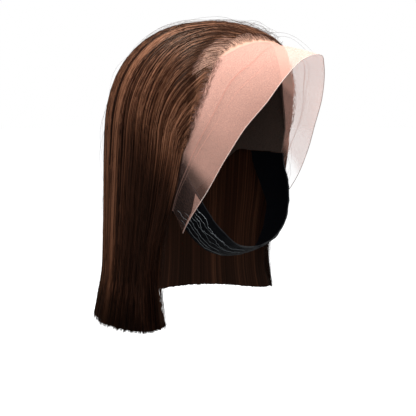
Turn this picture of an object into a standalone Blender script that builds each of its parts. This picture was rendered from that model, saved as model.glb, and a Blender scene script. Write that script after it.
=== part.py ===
"""Lace-front bob wig: stretch cap, lace front, straight hair combed back in three panels, and a chin strap.

The wearer faces -Y, +X is the wearer's left and +Z is up. The origin is where the crown of the head
meets the inside of the cap. All sizes are in metres and all angles in degrees.

Every piece lies over one head form. A place on it is an azimuth, 0 at the brow and 180 at the nape, a
polar angle, 0 at the crown and 90 at the widest level, and a lift, the distance out from the form.
"""
import bmesh
import bpy
import numpy as np

# Head form that the wig is made for
HEAD_WIDTH = 0.160
BROW_REACH = 0.091
NAPE_REACH = 0.093
CROWN_RISE = 0.101
CHIN_DROP = 0.108
FORM_POWER = 2.4
FORM_CENTRE = np.array((0.0, 0.0, -CROWN_RISE))

# Walls, and the gap that touching layers keep
CAP_WALL = 0.0012
STRAP_WALL = 0.0014
LACE_WALL = 0.001
LAYER_GAP = 0.0008

# Lace front
LACE_LIFT = max(CAP_WALL, STRAP_WALL) + LAYER_GAP
LACE_STAND_OFF = 0.030
LACE_SEAM_SHARE = 0.25
LACE_CREASE = 0.0010

# Hair: its length below the widest level of the head, its lift over the lace and over the bare cap
HAIR_DROP = 0.172
FRONT_TRIM = 0.018
HAIR_OVER_LACE = LACE_LIFT + LACE_WALL + LAYER_GAP
HAIR_OVER_CAP = CAP_WALL + LAYER_GAP
HEM_THICKNESS = 0.0112
HEM_FLARE = 0.0085
FRONT_GATHER = 18.0
ROOT_PULL_SHARE = 0.36
FALL_PULL_SHARE = 0.42
LACE_MARGIN = 6.0
LACE_BLEND = 8.0
LOCK_RELIEF = 0.0018
TIP_STEP = 0.0035
PANEL_GAP = 0.0002
LOCKS = {"hair_right": 7, "hair_back": 12, "hair_left": 7}
PANEL_SPLIT_SHARE = 0.40

# Chin strap
STRAP_EAR_POLAR = 100.5
STRAP_PUCKER = 0.0007
STRAP_PUCKERS = 3

# Fineness of the meshes
CAP_RINGS = 12
LACE_COLUMNS = 36
LACE_ROWS = 8
STRAP_COLUMNS = 30
STRAP_ROWS = 6
COLUMNS_PER_LOCK = 3
HAIR_ROWS = 23
PATH_STEPS = 160

# Edge of the cap at each of its columns, from behind the hairline round the ear tab and the ear to the nape
CAP_EDGE = {
    "azimuth": (0, 10, 20, 30, 40, 50, 57, 62, 66, 69, 78, 88, 97, 106, 118, 132, 148, 164, 180),
    "polar": (24, 24.3, 25.2, 27.5, 31, 36, 41, 48, 62, 100, 100, 100, 100, 99, 107, 119.5, 129, 133, 134),
}

# Lace front, from the middle of the brow (0) to the ear (1): its seam under the hair, the hairline, and
# its free edge with the share of the stand-off
LACE = {
    "share": (0.0, 0.06, 0.15, 0.30, 0.42, 0.52, 0.62, 0.74, 0.86, 1.0),
    "seam_azimuth": (0, 8, 20, 42, 60, 68, 72, 75.5, 79, 86),
    "seam_polar": (21, 21.2, 23, 29.5, 38, 50, 62, 77, 94, 118),
    "line_azimuth": (0, 8, 20, 38, 51, 56, 61, 66.5, 71, 81),
    "line_polar": (34.5, 34.7, 36.3, 41.3, 48, 60, 70, 84, 100, 124),
    "edge_azimuth": (0, 4.7, 11.3, 20.6, 27.9, 33.9, 39.3, 47.4, 57, 73.5),
    "edge_polar": (55.7, 55.9, 57.3, 63.6, 71.1, 77.2, 83.9, 97.4, 114.5, 136),
    "stand_off": (1.0, 0.96, 0.77, 0.44, 0.23, 0.11, 0.05, 0.04, 0.06, 0.12),
}

# Hair, from the middle of the brow (0) to the front edge of a curtain (1): root, angle at which the lock is
# combed away from it (-90 over the crown, 0 round the head, 90 down), and where the lock falls
STRANDS = {
    "share": (0.0, 0.12, 0.25, 0.38, 0.50, 0.62, 0.75, 0.88, 1.0),
    "root_azimuth": (0, 2.5, 6, 11, 23, 37, 53, 62, 68),
    "root_polar": (28, 28, 28.2, 28.7, 30, 35, 46, 66, 91),
    "comb": (-90, -86, -80, -66, -40, -14, 20, 58, 70),
    "fall_azimuth": (180, 158, 138, 121, 105, 93.5, 83, 75, 69),
}

# Share of the hem's thickness, from the root (0) over the head to the widest level (1) and on to the hem (2)
THICKNESS = {
    "way": (0.0, 0.12, 0.30, 0.60, 1.0, 1.4, 1.8, 2.0),
    "crown": (0.11, 0.16, 0.34, 0.36, 0.54, 0.73, 0.89, 1.0),
    "front": (0.12, 0.16, 0.20, 0.27, 0.32, 0.45, 0.54, 0.58),
}

# Curtains, from the widest level (0) to the hem (1): pull to the back of the front edge, and flare
FALL = {
    "drop": (0.0, 0.10, 0.28, 0.39, 0.52, 0.72, 0.86, 1.0),
    "gather": (0.0, 0.10, 0.34, 0.50, 0.76, 0.96, 0.85, 0.50),
    "flare": (0.0, 0.05, 0.08, 0.08, 0.08, 0.12, 0.42, 1.0),
}

# Chin strap, from the ear (0) to under the chin (1): its front and back edges
STRAP = {
    "share": (0.0, 0.16, 0.34, 0.52, 0.68, 0.84, 1.0),
    "front_azimuth": (69, 67, 61.5, 55, 47.5, 30, 0),
    "front_polar": (STRAP_EAR_POLAR, 108, 116.5, 126, 134, 145.5, 151),
    "back_azimuth": (97, 94, 84, 75, 68, 50, 0),
    "back_polar": (STRAP_EAR_POLAR, 111, 125, 134, 144, 155, 163),
}


def clear_scene():
    """Removes whatever the file holds."""
    for item in list(bpy.data.objects):
        bpy.data.objects.remove(item, do_unlink=True)


def make_material(name, colour, roughness):
    """A plain surface of one colour."""
    material = bpy.data.materials.new(name)
    material.use_nodes = True
    shader = material.node_tree.nodes["Principled BSDF"]
    shader.inputs["Base Color"].default_value = (*colour, 1.0)
    shader.inputs["Roughness"].default_value = roughness
    shader.inputs["Metallic"].default_value = 0.0
    material.diffuse_color = (*colour, 1.0)
    return material


def read_column(table, key, column, at):
    """Values of one column at the given keys, on a smooth curve through the table's rows."""
    keys = np.array(table[key], float)
    values = np.array(table[column], float)
    steps = np.diff(values) / np.diff(keys)
    slopes = np.concatenate((steps[:1], (steps[1:] + steps[:-1]) / 2, steps[-1:]))
    slopes[1:-1][steps[1:] * steps[:-1] <= 0] = 0
    at = np.clip(np.asarray(at, float), keys[0], keys[-1])
    row = np.clip(np.searchsorted(keys, at, side="right") - 1, 0, len(keys) - 2)
    width = keys[row + 1] - keys[row]
    x = (at - keys[row]) / width
    rise = values[row + 1] - values[row]
    start = slopes[row] * width
    end = slopes[row + 1] * width
    return values[row] + x * (start + x * (3 * rise - 2 * start - end + x * (start + end - 2 * rise)))


def smooth_step(x):
    """0 below 0, 1 above 1, and a smooth rise between."""
    x = np.clip(x, 0, 1)
    return x * x * (3 - 2 * x)


def direction(azimuth, polar):
    """Unit vectors of azimuth and polar angles; a negative azimuth is on the wearer's right."""
    azimuth, polar = np.broadcast_arrays(np.radians(azimuth), np.radians(polar))
    return np.stack((np.sin(polar) * np.sin(azimuth), -np.sin(polar) * np.cos(azimuth), np.cos(polar)), -1)


def along_form(way, lift):
    """Points over the head form in the given directions, its half sizes grown by the lift."""
    lift = np.asarray(lift, float) + np.zeros(way.shape[:-1])
    half = np.stack((
        np.full(lift.shape, HEAD_WIDTH / 2),
        np.where(way[..., 1] < 0, BROW_REACH, NAPE_REACH),
        np.where(way[..., 2] < 0, CHIN_DROP, CROWN_RISE),
    ), -1) + lift[..., None]
    radius = (np.abs(way / half) ** FORM_POWER).sum(-1) ** (-1 / FORM_POWER)
    return FORM_CENTRE + way * radius[..., None]


def over_form(azimuth, polar, lift):
    """Points over the head form at the given angles and lift."""
    return along_form(direction(azimuth, polar), lift)


def lace_point(side, down, layer):
    """A point of the lace: side -1 at the right ear to 1 at the left, down 0 at its seam to 1 at its free edge."""
    share = np.abs(side)
    ahead = np.clip((down - LACE_SEAM_SHARE) / (1 - LACE_SEAM_SHARE), 0, 1)
    behind = np.clip(1 - down / LACE_SEAM_SHARE, 0, 1)
    azimuth, polar = (
        (1 - ahead - behind) * read_column(LACE, "share", "line_" + angle, share)
        + ahead * read_column(LACE, "share", "edge_" + angle, share)
        + behind * read_column(LACE, "share", "seam_" + angle, share)
        for angle in ("azimuth", "polar")
    )
    rise = read_column(LACE, "share", "stand_off", share) * LACE_STAND_OFF * ahead ** 1.45
    crease = LACE_CREASE * np.exp(-((ahead - 0.55) / 0.08) ** 2)
    return over_form(np.sign(side) * azimuth, polar, LACE_LIFT + rise + crease + layer)


def strap_point(side, across, layer):
    """A point of the strap: side -1 at the right ear to 1 at the left, across 0 at its front edge to 1 at its back."""
    share = 1 - np.abs(side)
    edges = []
    for edge in ("front", "back"):
        azimuth = np.sign(side) * read_column(STRAP, "share", edge + "_azimuth", share)
        edges.append(direction(azimuth, read_column(STRAP, "share", edge + "_polar", share)))
    way = edges[0] * (1 - across)[..., None] + edges[1] * across[..., None]
    way = way / np.linalg.norm(way, axis=-1, keepdims=True)
    fold = np.sin(np.pi * STRAP_PUCKERS * across) ** 2 * smooth_step((share - 0.35) / 0.3)
    return along_form(way, STRAP_PUCKER * fold + layer)


def combed_ways(side):
    """Directions that each lock passes over the head, and the azimuth where it starts to fall.

    A lock follows a cubic curve from its root to the widest level: it leaves the root at its comb angle
    and arrives going straight down.
    """
    share = np.abs(side)
    sign = np.where(side < 0, -1.0, 1.0)
    root_azimuth = sign * read_column(STRANDS, "share", "root_azimuth", share)
    root_polar = read_column(STRANDS, "share", "root_polar", share)
    fall_azimuth = sign * read_column(STRANDS, "share", "fall_azimuth", share)
    comb = np.radians(read_column(STRANDS, "share", "comb", share))[:, None]
    root = direction(root_azimuth, root_polar)
    end = direction(fall_azimuth, np.maximum(90.0, root_polar + 2))
    round_head = direction(root_azimuth + sign * 90, 90.0)
    down_head = direction(root_azimuth, root_polar + 90)
    reach = np.arccos(np.clip((root * end).sum(-1), -1, 1))[:, None]
    leave = root + ROOT_PULL_SHARE * reach * (np.cos(comb) * round_head + np.sin(comb) * down_head)
    arrive = end + FALL_PULL_SHARE * reach * np.array((0.0, 0.0, 1.0))
    handles = (root, leave, arrive, end)
    t = np.linspace(0, 1, PATH_STEPS)[:, None, None]
    weights = ((1 - t) ** 3, 3 * t * (1 - t) ** 2, 3 * t * t * (1 - t), t ** 3)
    way = sum(weight * handle for weight, handle in zip(weights, handles))
    return way / np.linalg.norm(way, axis=-1, keepdims=True), fall_azimuth


def over_lace(way):
    """1 where a direction lies over the lace or less than the margin behind its seam, and 0 well behind it."""
    azimuth = np.degrees(np.arctan2(np.abs(way[..., 0]), -way[..., 1]))
    polar = np.degrees(np.arccos(np.clip(way[..., 2], -1, 1)))
    below = polar - np.interp(azimuth, LACE["seam_azimuth"], LACE["seam_polar"])
    before = np.interp(polar, LACE["seam_polar"], LACE["seam_azimuth"]) - azimuth
    before = before * np.sin(np.radians(polar))
    ahead = np.sign(below) * np.abs(below * before) / np.sqrt(below ** 2 + before ** 2 + 1e-6)
    return smooth_step(1 + (ahead + LACE_MARGIN) / LACE_BLEND)


def hair_thickness(way, edge):
    """Thickness at the given stages of the way, thinner toward the front edges (edge 1) of the curtains."""
    crown = read_column(THICKNESS, "way", "crown", way)
    return HEM_THICKNESS * (crown + edge * (read_column(THICKNESS, "way", "front", way) - crown))


def hair_point(side, along, outer):
    """Points of the hair, side -1 at the right front edge to 1 at the left, along 0 at the root to 1 at the hem.

    outer is 0 for the inner face and 1 for the outer one.
    """
    sides, place = np.unique(side, return_inverse=True)
    share = np.abs(sides)
    edge = smooth_step((share - 0.80) / 0.20)
    way, fall_azimuth = combed_ways(sides)

    combed = np.linspace(0, 1, PATH_STEPS)[:, None]
    lift = HAIR_OVER_CAP + (HAIR_OVER_LACE - HAIR_OVER_CAP) * over_lace(way)
    combed_path = along_form(way, lift + outer * hair_thickness(combed, edge))

    drop = np.linspace(0, 1, PATH_STEPS)[1:, None]
    gather = FRONT_GATHER * read_column(FALL, "drop", "gather", drop) * share ** 2
    lift = lift[-1] + HEM_FLARE * read_column(FALL, "drop", "flare", drop)
    plan = over_form(fall_azimuth + np.sign(sides) * gather, 90.0, lift + outer * hair_thickness(1 + drop, edge))
    top = combed_path[-1, :, 2]
    hem = FORM_CENTRE[2] - HAIR_DROP + FRONT_TRIM * share ** 1.4
    plan[..., 2] = top + drop * (hem - top)
    path = np.concatenate((combed_path, plan))

    run = np.linalg.norm(np.diff(path, axis=0), axis=-1)
    run = np.concatenate((np.zeros((1, run.shape[1])), np.cumsum(run, axis=0)))
    points = np.empty((len(side), 3))
    for column in range(len(sides)):
        mine = place == column
        at = along[mine] * run[-1, column]
        for axis in range(3):
            points[mine, axis] = np.interp(at, run[:, column], path[:, column, axis])
    return points


def outward(points):
    """Level unit vectors away from the head's upright middle line."""
    way = points * np.array((1.0, 1.0, 0.0))
    return way / np.maximum(np.linalg.norm(way, axis=-1, keepdims=True), 1e-6)


def hair_sheet(low, high, locks, outer):
    """The surface of one panel between two sides, with its locks as ridges and its tips stepped."""
    def surface(across, along):
        points = hair_point(low + (high - low) * across, along, outer)
        lock = np.abs(np.sin(np.pi * locks * across))
        grown = smooth_step(along / 0.3)
        points = points + outer * LOCK_RELIEF * (lock * grown)[:, None] * outward(points)
        step = TIP_STEP * (0.45 + 0.55 * np.cos(2.4 * np.floor(locks * across * 0.999))) * lock
        points[:, 2] -= step * smooth_step((along - 0.8) / 0.2)
        return points
    return surface


def add_sheet(mesh, surface, columns, rows):
    """A grid of columns by rows whose points are surface(across, along), each running from 0 to 1."""
    grid = bmesh.ops.create_grid(mesh, x_segments=columns, y_segments=rows, size=0.5)["verts"]
    shares = np.array([vert.co[:2] for vert in grid]) + 0.5
    shares = np.round(shares, 6)
    for vert, point in zip(grid, surface(shares[:, 0], shares[:, 1])):
        vert.co = point
    return grid


def finish_object(name, mesh, material, sharp=50.0):
    """Turns a bmesh into a named, smooth shaded object with its faces pointing out."""
    bmesh.ops.recalc_face_normals(mesh, faces=mesh.faces)
    if mesh.calc_volume(signed=True) < 0:
        bmesh.ops.reverse_faces(mesh, faces=mesh.faces)
    data = bpy.data.meshes.new(name)
    mesh.to_mesh(data)
    mesh.free()
    data.materials.append(material)
    data.shade_smooth()
    data.set_sharp_from_angle(angle=np.radians(sharp))
    item = bpy.data.objects.new(name, data)
    bpy.context.scene.collection.objects.link(item)
    return item


def add_walled_sheet(name, inner, outer, columns, rows, material):
    """A closed wall between two sheets of the same grid, joined all round their edges."""
    mesh = bmesh.new()
    partner = dict(zip(add_sheet(mesh, inner, columns, rows), add_sheet(mesh, outer, columns, rows)))
    rim = [edge.verts[:] for edge in mesh.edges if edge.is_boundary and edge.verts[0] in partner]
    for near, far in rim:
        mesh.faces.new((near, far, partner[far], partner[near]))
    return finish_object(name, mesh, material)


def add_cap(material):
    """The stretch cap: a dome wall from the crown to the edge that CAP_EDGE gives."""
    mesh = bmesh.new()
    azimuth = np.array(CAP_EDGE["azimuth"], float)
    polar = np.array(CAP_EDGE["polar"], float)
    azimuth = np.concatenate((azimuth, -azimuth[-2:0:-1]))
    polar = np.concatenate((polar, polar[-2:0:-1]))
    columns = len(azimuth)
    edges = []
    for lift in (0.0, CAP_WALL):
        crown = mesh.verts.new(over_form(0.0, 0.0, lift))
        rings = []
        for ring in range(1, CAP_RINGS + 1):
            rings.append([mesh.verts.new(point) for point in over_form(azimuth, polar * ring / CAP_RINGS, lift)])
        for column in range(columns):
            after = (column + 1) % columns
            mesh.faces.new((crown, rings[0][column], rings[0][after]))
            for near, far in zip(rings, rings[1:]):
                mesh.faces.new((near[column], far[column], far[after], near[after]))
        edges.append(rings[-1])
    for column in range(columns):
        after = (column + 1) % columns
        mesh.faces.new((edges[0][column], edges[1][column], edges[1][after], edges[0][after]))
    return finish_object("cap", mesh, material)


def add_lace(material):
    """The lace front, from under the hair to its uncut free edge ahead of the brow."""
    def face(layer):
        return lambda across, along: lace_point(2 * across - 1, along, layer)
    return add_walled_sheet("lace_front", face(0.0), face(LACE_WALL), LACE_COLUMNS, LACE_ROWS, material)


def add_strap(material):
    """The elastic chin strap, wide at the ear tabs and narrow under the chin."""
    def face(layer):
        return lambda across, along: strap_point(2 * across - 1, along, layer)
    return add_walled_sheet("chin_strap", face(0.0), face(STRAP_WALL), STRAP_COLUMNS, STRAP_ROWS, material)


def add_hair(material):
    """The three hair panels, side by side with a fine gap, each with its locks."""
    bounds = {
        "hair_right": (-1.0, -PANEL_SPLIT_SHARE),
        "hair_back": (-PANEL_SPLIT_SHARE, PANEL_SPLIT_SHARE),
        "hair_left": (PANEL_SPLIT_SHARE, 1.0),
    }
    half_gap = PANEL_GAP / HEAD_WIDTH
    for name, (low, high) in bounds.items():
        low = low + half_gap * (low > -1)
        high = high - half_gap * (high < 1)
        locks = LOCKS[name]
        add_walled_sheet(name, hair_sheet(low, high, locks, 0.0), hair_sheet(low, high, locks, 1.0),
                         locks * COLUMNS_PER_LOCK, HAIR_ROWS, material)


def build():
    """Builds every piece of the wig."""
    clear_scene()
    hair = make_material("brown_hair", (0.085, 0.034, 0.016), 0.38)
    net = make_material("cap_net", (0.020, 0.014, 0.011), 0.85)
    lace = make_material("lace", (0.80, 0.60, 0.52), 0.75)
    elastic = make_material("black_elastic", (0.006, 0.007, 0.009), 0.45)
    add_cap(net)
    add_lace(lace)
    add_strap(elastic)
    add_hair(hair)


build()
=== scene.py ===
"""Looks of a lace-front bob wig: combed hair, sheer lace, stretch cap and black chin band.

Every surface here is worked out over one head form, in metres. A place on it is an azimuth, 0 at the
brow and 180 at the nape, a polar angle, 0 at the crown and 90 at the widest level, and a lift, the
distance out from the form. The wearer faces -Y and +X is the wearer's left.
"""

import bpy
import numpy as np
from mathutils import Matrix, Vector


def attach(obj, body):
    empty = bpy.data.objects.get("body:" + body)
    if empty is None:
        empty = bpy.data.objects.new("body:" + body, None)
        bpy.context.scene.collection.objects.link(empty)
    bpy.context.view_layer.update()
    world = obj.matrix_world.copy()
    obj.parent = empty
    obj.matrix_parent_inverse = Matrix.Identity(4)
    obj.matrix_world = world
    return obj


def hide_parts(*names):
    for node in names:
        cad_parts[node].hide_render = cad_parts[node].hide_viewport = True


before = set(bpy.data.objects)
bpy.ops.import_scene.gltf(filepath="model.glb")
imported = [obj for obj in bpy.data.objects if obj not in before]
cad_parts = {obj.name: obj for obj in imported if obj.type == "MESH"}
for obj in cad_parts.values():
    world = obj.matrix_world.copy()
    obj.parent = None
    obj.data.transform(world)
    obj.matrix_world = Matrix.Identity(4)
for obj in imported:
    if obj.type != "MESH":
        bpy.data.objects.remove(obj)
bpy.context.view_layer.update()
chance = np.random.default_rng(41)

# Head form
HEAD_WIDTH = 0.160
BROW_REACH = 0.091
NAPE_REACH = 0.093
CROWN_RISE = 0.101
CHIN_DROP = 0.108
FORM_POWER = 2.4
FORM_CENTRE = np.array((0.0, 0.0, -CROWN_RISE))

# Layers over the form
CAP_WALL = 0.0012
STRAP_WALL = 0.0014
LACE_LIFT = 0.0022
LACE_STAND_OFF = 0.030
HAIR_OVER_LACE = 0.0040
HAIR_OVER_CAP = 0.0020

# Hair lengths
HAIR_DROP = 0.172
FRONT_TRIM = 0.018
LEFT_LONGER = 0.008
HEM_THICKNESS = 0.0112
HEM_FLARE = 0.0085
FRONT_GATHER = 18.0
PANEL_SPLIT_SHARE = 0.40
ROOT_PULL_SHARE = 0.36
FALL_PULL_SHARE = 0.42
LACE_MARGIN = 6.0
LACE_BLEND = 8.0

CAP_EDGE = {
    "azimuth": (0, 10, 20, 30, 40, 50, 57, 62, 66, 69, 78, 88, 97, 106, 118, 132, 148, 164, 180),
    "polar": (24, 24.3, 25.2, 27.5, 31, 36, 41, 48, 62, 100, 100, 100, 100, 99, 107, 119.5, 129, 133, 134),
}
LACE = {
    "share": (0.0, 0.06, 0.15, 0.30, 0.42, 0.52, 0.62, 0.74, 0.86, 1.0),
    "seam_azimuth": (0, 8, 20, 42, 60, 68, 72, 75.5, 79, 86),
    "seam_polar": (21, 21.2, 23, 29.5, 38, 50, 62, 77, 94, 118),
    "line_azimuth": (0, 8, 20, 38, 51, 56, 61, 66.5, 71, 81),
    "line_polar": (34.5, 34.7, 36.3, 41.3, 48, 60, 70, 84, 100, 124),
    "edge_azimuth": (0, 4.7, 11.3, 20.6, 27.9, 33.9, 39.3, 47.4, 57, 73.5),
    "edge_polar": (55.7, 55.9, 57.3, 63.6, 71.1, 77.2, 83.9, 97.4, 114.5, 136),
    "stand_off": (1.0, 0.96, 0.77, 0.44, 0.23, 0.11, 0.05, 0.04, 0.06, 0.12),
    "crease": (0.36, 0.355, 0.365, 0.435, 0.41, 0.35, 0.35, 0.30, 0.22, 0.18),
}
STRANDS = {
    "share": (0.0, 0.12, 0.25, 0.38, 0.50, 0.62, 0.75, 0.88, 1.0),
    "root_azimuth": (0, 2.5, 6, 11, 23, 37, 53, 62, 68),
    "root_polar": (28, 28, 28.2, 28.7, 30, 35, 46, 66, 91),
    "line_azimuth": (0, 2, 5, 9, 19, 31.5, 47.5, 58.5, 69),
    "line_polar": (34.5, 34.5, 34.6, 34.9, 36.2, 39, 45.5, 65, 93),
    "comb": (-90, -86, -80, -66, -40, -14, 20, 58, 70),
    "fall_azimuth": (180, 158, 138, 121, 105, 93.5, 83, 75, 69),
}
THICKNESS = {
    "way": (0.0, 0.12, 0.30, 0.60, 1.0, 1.4, 1.8, 2.0),
    "crown": (0.11, 0.16, 0.34, 0.36, 0.54, 0.73, 0.89, 1.0),
    "front": (0.12, 0.16, 0.20, 0.27, 0.32, 0.45, 0.54, 0.58),
}
FALL = {
    "drop": (0.0, 0.10, 0.28, 0.39, 0.52, 0.72, 0.86, 1.0),
    "gather": (0.0, 0.10, 0.34, 0.50, 0.76, 0.96, 0.85, 0.50),
    "left_gather": (0.0, 0.10, 0.34, 0.50, 0.80, 1.04, 1.08, 0.96),
    "flare": (0.0, 0.05, 0.08, 0.08, 0.08, 0.12, 0.42, 1.0),
}
STRAP = {
    "share": (0.0, 0.16, 0.34, 0.52, 0.68, 0.84, 1.0),
    "front_azimuth": (69, 67, 61.5, 55, 47.5, 30, 0),
    "front_polar": (100.5, 108, 116.5, 126, 134, 145.5, 151),
    "back_azimuth": (97, 94, 84, 75, 68, 50, 0),
    "back_polar": (100.5, 111, 125, 134, 144, 155, 163),
}


# Shapes worked out as whole arrays

def read_column(table, key, name, at):
    """A smooth curve through one column of a table: cubic between its rows, with averaged slopes."""
    keys = np.array(table[key], float)
    values = np.array(table[name], float)
    steps = np.diff(values) / np.diff(keys)
    slopes = np.concatenate((steps[:1], (steps[1:] + steps[:-1]) / 2, steps[-1:]))
    slopes[1:-1][steps[1:] * steps[:-1] <= 0] = 0
    at = np.clip(np.asarray(at, float), keys[0], keys[-1])
    row = np.clip(np.searchsorted(keys, at, side="right") - 1, 0, len(keys) - 2)
    width = keys[row + 1] - keys[row]
    x = (at - keys[row]) / width
    rise = values[row + 1] - values[row]
    start = slopes[row] * width
    end = slopes[row + 1] * width
    return values[row] + x * (start + x * (3 * rise - 2 * start - end + x * (start + end - 2 * rise)))


def smooth_step(x):
    """0 below 0, 1 above 1, and three x squared less two x cubed between."""
    x = np.clip(x, 0, 1)
    return x * x * (3 - 2 * x)


def unit(vectors):
    """Each vector divided by its length."""
    return vectors / np.maximum(np.linalg.norm(vectors, axis=-1, keepdims=True), 1e-9)


def direction(azimuth, polar):
    """Unit vectors at the angles: sines and cosines of a sphere whose azimuth is counted from -Y."""
    azimuth, polar = np.broadcast_arrays(np.radians(azimuth), np.radians(polar))
    return np.stack((np.sin(polar) * np.sin(azimuth), -np.sin(polar) * np.cos(azimuth), np.cos(polar)), -1)


def along_form(way, lift):
    """Points of a superellipsoid whose half sizes are the head's plus the lift, in given directions."""
    lift = np.asarray(lift, float) + np.zeros(way.shape[:-1])
    half = np.stack((
        np.full(lift.shape, HEAD_WIDTH / 2),
        np.where(way[..., 1] < 0, BROW_REACH, NAPE_REACH),
        np.where(way[..., 2] < 0, CHIN_DROP, CROWN_RISE),
    ), -1) + lift[..., None]
    radius = (np.abs(way / half) ** FORM_POWER).sum(-1) ** (-1 / FORM_POWER)
    return FORM_CENTRE + way * radius[..., None]


def over_form(azimuth, polar, lift):
    """Points over the head form at the given angles and lift."""
    return along_form(direction(azimuth, polar), lift)


def ripple(x, y, across, down, seed):
    """Value noise from -1 to 1: random numbers on a grid of cells, blended smoothly between them."""
    table = np.random.default_rng(seed).uniform(-1, 1, (across + 2, down + 2))
    x = np.clip(x, 0, 1) * across
    y = np.clip(y, 0, 1) * down
    column = np.minimum(x.astype(int), across)
    row = np.minimum(y.astype(int), down)
    fx = smooth_step(x - column)
    fy = smooth_step(y - row)
    near = table[column, row] * (1 - fx) + table[column + 1, row] * fx
    far = table[column, row + 1] * (1 - fx) + table[column + 1, row + 1] * fx
    return near * (1 - fy) + far * fy


# Meshes from arrays of points and faces

CRISP_ANGLE = 65


def make_object(name, points, quads, triangles, material, values=None, rides="root", sharp=None):
    """A smooth shaded object of quads and triangles given as index arrays, with its point values.

    Edges that bend by more than sharp degrees stay crisp, where it is given.
    """
    quads = np.asarray(quads, np.int32).reshape(-1, 4)
    triangles = np.asarray(triangles, np.int32).reshape(-1, 3)
    mesh = bpy.data.meshes.new(name)
    mesh.vertices.add(len(points))
    mesh.vertices.foreach_set("co", np.asarray(points, np.float32).ravel())
    corners = np.concatenate((quads.ravel(), triangles.ravel()))
    mesh.loops.add(len(corners))
    mesh.loops.foreach_set("vertex_index", corners)
    sizes = np.concatenate((np.full(len(quads), 4), np.full(len(triangles), 3)))
    mesh.polygons.add(len(sizes))
    mesh.polygons.foreach_set("loop_start", (np.cumsum(sizes) - sizes).astype(np.int32))
    mesh.update(calc_edges=True)
    mesh.polygons.foreach_set("use_smooth", np.ones(len(sizes), bool))
    for key, array in (values or {}).items():
        layer = mesh.attributes.new(key, "FLOAT", "POINT")
        layer.data.foreach_set("value", np.asarray(array, np.float32).ravel())
    mesh.validate()
    if sharp:
        mesh.set_sharp_from_angle(angle=np.radians(sharp))
    mesh.materials.append(material)
    item = bpy.data.objects.new(name, mesh)
    bpy.context.scene.collection.objects.link(item)
    if rides:
        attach(item, rides)
    return item


def grid_quads(columns, rows, start=0, flip=False):
    """Index quads of a grid whose point (c, r) is start + c * (rows + 1) + r."""
    c, r = np.meshgrid(np.arange(columns), np.arange(rows), indexing="ij")
    a = start + c * (rows + 1) + r
    quads = np.stack((a, a + rows + 1, a + rows + 2, a + 1), -1).reshape(-1, 4)
    return quads[:, ::-1] if flip else quads


def rim_quads(columns, rows, flip=False):
    """Quads that join the borders of two such grids, the second one after the first."""
    second = (columns + 1) * (rows + 1)
    c = np.arange(columns + 1) * (rows + 1)
    r = np.arange(rows + 1)
    loop = np.concatenate((c[:-1], c[-1] + r[:-1], (c + rows)[:0:-1], r[:0:-1]))
    after = np.roll(loop, -1)
    quads = np.stack((loop, after, after + second, loop + second), -1)
    return quads[:, ::-1] if flip else quads


def walled_sheet(name, outer, inner, material, values):
    """A closed wall between two grids of points, outer and inner, of shape (columns, rows, 3).

    A value is one array for both faces, or a pair for the outer and the inner one.
    """
    columns, rows = outer.shape[0] - 1, outer.shape[1] - 1
    points = np.concatenate((outer.reshape(-1, 3), inner.reshape(-1, 3)))
    centre = (columns // 2, rows // 2)
    side = outer[centre[0] + 1, centre[1]] - outer[centre]
    down = outer[centre[0], centre[1] + 1] - outer[centre]
    flip = np.dot(np.cross(side, down), outer[centre] - inner[centre]) < 0
    quads = np.concatenate((
        grid_quads(columns, rows, 0, flip),
        grid_quads(columns, rows, (columns + 1) * (rows + 1), not flip),
        rim_quads(columns, rows, not flip),
    ))
    doubled = {}
    for key, array in values.items():
        faces = array if isinstance(array, tuple) else (array, array)
        doubled[key] = np.concatenate([face.ravel() for face in faces])
    return make_object(name, points, quads, [], material, doubled, sharp=CRISP_ANGLE)


def strand_object(name, paths, radii, material, values, turns=(90, 210, 330)):
    """Closed tubes: each path carries rings of points at the turns, as wide as its radius there.

    Each end is a fan of triangles.
    """
    count, steps = paths.shape[:2]
    sides = len(turns)
    turns = np.radians(turns)
    ahead = unit(np.gradient(paths, axis=1))
    side = unit(np.cross(ahead, unit(paths - FORM_CENTRE)))
    out = np.cross(side, ahead)
    ring = side[:, :, None] * np.cos(turns)[:, None] + out[:, :, None] * np.sin(turns)[:, None]
    points = paths[:, :, None] + ring * np.broadcast_to(radii, (count, steps))[..., None, None]
    first = np.arange(count)[:, None, None] * steps * sides
    base = first + np.arange(steps - 1)[:, None] * sides
    k = np.arange(sides)
    after = (k + 1) % sides
    quads = np.stack((base + k, base + after, base + after + sides, base + k + sides), -1)
    fan = np.stack((0 * k, k + 1, k), -1)[1:-1]
    caps = np.concatenate((first + fan, first + (steps - 1) * sides + fan[:, ::-1]))
    spread = {key: np.repeat(np.broadcast_to(array, (count, steps)).ravel(), sides)
              for key, array in values.items()}
    return make_object(name, points.reshape(-1, 3), quads, caps, material, spread)


# The hair's own surface: grids of points from the hairline to the hem

WAY_STEPS = 160
HAIRLINE_RISE = 0.0012
HAIRLINE_BODY = 0.0014
LOCK_RIPPLES = ((0.0012, 52, 3), (0.0007, 130, 4), (0.0003, 300, 5))
FIELD_SIDES = 321
FIELD_FRONT = 10
FIELD_ROWS = 220


def hair_thickness(way, edge):
    """Thickness at a stage of the way, as shares of the hem's thickness, thinner at the front edges."""
    crown = read_column(THICKNESS, "way", "crown", way)
    return HEM_THICKNESS * (crown + edge * (read_column(THICKNESS, "way", "front", way) - crown))


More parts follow.
